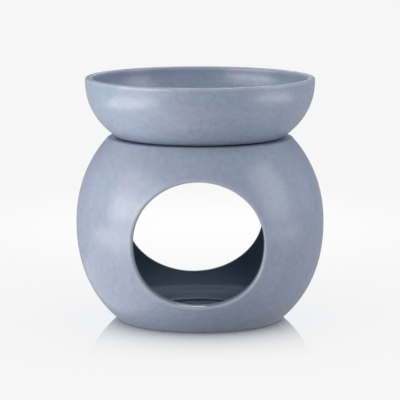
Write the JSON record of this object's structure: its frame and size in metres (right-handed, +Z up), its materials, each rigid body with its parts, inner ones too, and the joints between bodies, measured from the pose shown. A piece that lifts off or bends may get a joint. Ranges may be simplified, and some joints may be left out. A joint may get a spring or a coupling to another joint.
{
  "type": "wax melt burner",
  "caption": "Round glazed stoneware tealight chamber with open front, rear and top, carrying a loose shallow dish that melts scented wax.",
  "frame": {"origin": "centre of the foot, on the surface that the burner stands on", "axes": "+Z up along the turning axis of chamber and dish; -Y towards the front opening, +Y towards the wider rear opening; +X to the right seen from the front"},
  "size_m": [0.113, 0.1044, 0.1107],
  "materials": {
    "body_glaze": "satin",
    "dish_glaze": "satin"
  },
  "bodies": {
    "chamber": {"burner_body": "body_glaze"},
    "dish": {"melting_dish": "dish_glaze"}
  },
  "joints": [
    {"name": "dish_lift", "type": "slide", "parent": "chamber", "child": "dish", "axis": [0, 0, 1], "range_m": [0, 0.05]}
  ]
}
